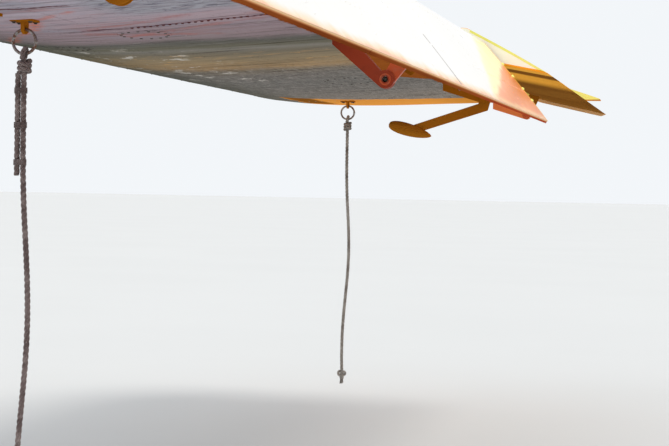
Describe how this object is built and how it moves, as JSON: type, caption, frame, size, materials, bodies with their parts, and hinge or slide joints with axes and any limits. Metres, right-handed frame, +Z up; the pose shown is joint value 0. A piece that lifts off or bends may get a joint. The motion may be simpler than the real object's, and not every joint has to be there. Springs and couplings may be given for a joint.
{
  "type": "floatplane wing",
  "caption": "Right wing of a high-wing floatplane with a lowered slotted flap, a drooped aileron with balance weight, and tie-down ropes.",
  "frame": {"origin": "centre of the squared inboard end of the front spar's root lug", "axes": "+X aft along the chord, +Y outboard along the span, +Z up"},
  "size_m": [1.6137, 6.6471, 1.5962],
  "materials": {
    "wing_skin": "weathered gloss paint over riveted sheet",
    "yellow_paint": "gloss golden yellow",
    "flap_paint": "gloss cream white",
    "orange_paint": "worn orange-red gloss",
    "steel": "dull, lightly rusted",
    "rope": "weathered three-strand laid rope",
    "green_lens": "clear green lens"
  },
  "bodies": {
    "wing": {"leading_edge": "wing_skin", "centre_panel": "wing_skin", "flap_bay_panel": "yellow_paint", "aileron_bay_panel": "yellow_paint", "root_rib": "yellow_paint", "wing_tip": "yellow_paint", "navigation_light": "green_lens", "front_spar_lug": "steel", "rear_spar_lug": "steel", "strut_lug": "orange_paint", "cable_fairlead": "yellow_paint", "flap_bracket_inboard": "orange_paint", "flap_bracket_outboard": "orange_paint", "aileron_bracket_inboard": "yellow_paint", "aileron_bracket_outboard": "orange_paint", "tiedown_eye_inboard": "orange_paint", "tiedown_ring_inboard": "steel", "rope_eye_inboard": "rope", "rope_inboard": "rope", "rope_knot_inboard": "rope", "rope_tail_inboard": "rope", "tiedown_eye_outboard": "orange_paint", "tiedown_ring_outboard": "steel", "rope_eye_outboard": "rope", "rope_outboard": "rope", "rope_knot_outboard": "rope"},
    "flap": {"flap": "flap_paint", "flap_rib_inboard": "yellow_paint", "flap_rib_outboard": "yellow_paint", "flap_arm_inboard": "orange_paint", "flap_arm_outboard": "orange_paint"},
    "aileron": {"aileron": "yellow_paint", "aileron_rib_inboard": "yellow_paint", "aileron_rib_outboard": "yellow_paint", "aileron_arm_inboard": "yellow_paint", "aileron_arm_outboard": "yellow_paint", "balance_arm": "yellow_paint", "balance_weight": "yellow_paint"}
  },
  "joints": [
    {"name": "flap_hinge", "type": "hinge", "parent": "wing", "child": "flap", "pos_m": [0.755, 2.055, -0.185], "axis": [0, 1, 0], "range_deg": [-37, 21]},
    {"name": "aileron_hinge", "type": "hinge", "parent": "wing", "child": "aileron", "pos_m": [0.799, 5.29, -0.145], "axis": [0, 1, 0], "range_deg": [-37, 14]}
  ]
}
